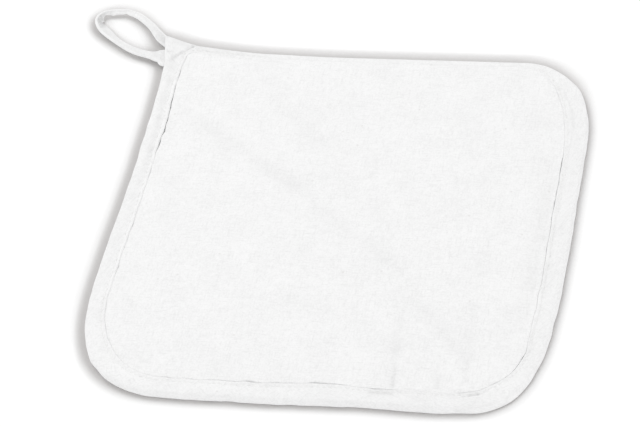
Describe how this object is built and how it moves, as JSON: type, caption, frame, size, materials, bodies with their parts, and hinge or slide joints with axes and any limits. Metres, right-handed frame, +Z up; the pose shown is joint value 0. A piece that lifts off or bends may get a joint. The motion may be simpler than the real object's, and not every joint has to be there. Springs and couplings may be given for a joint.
{
  "type": "pot holder",
  "caption": "Square padded pot holder in white cotton with rounded corners, a bound edge and a narrow hanging loop at one corner, for gripping hot dishes.",
  "frame": {"origin": "middle of the padded square, on the flat face it lies on", "axes": "+Z up out of the padded face, +X to the right along the front edge, +Y towards the back edge; the hanging loop is at the -X +Y corner"},
  "size_m": [0.2426, 0.2235, 0.0073],
  "materials": {
    "padded_cotton": "plain-woven white cotton with slubs, softly padded",
    "binding_tape": "folded white cotton bias tape, sewn along its inner edge",
    "loop_tape": "white cotton tape folded narrow and sewn"
  },
  "bodies": {
    "root": {"pad": "padded_cotton", "binding": "binding_tape", "hanging_loop": "loop_tape"}
  },
  "joints": []
}
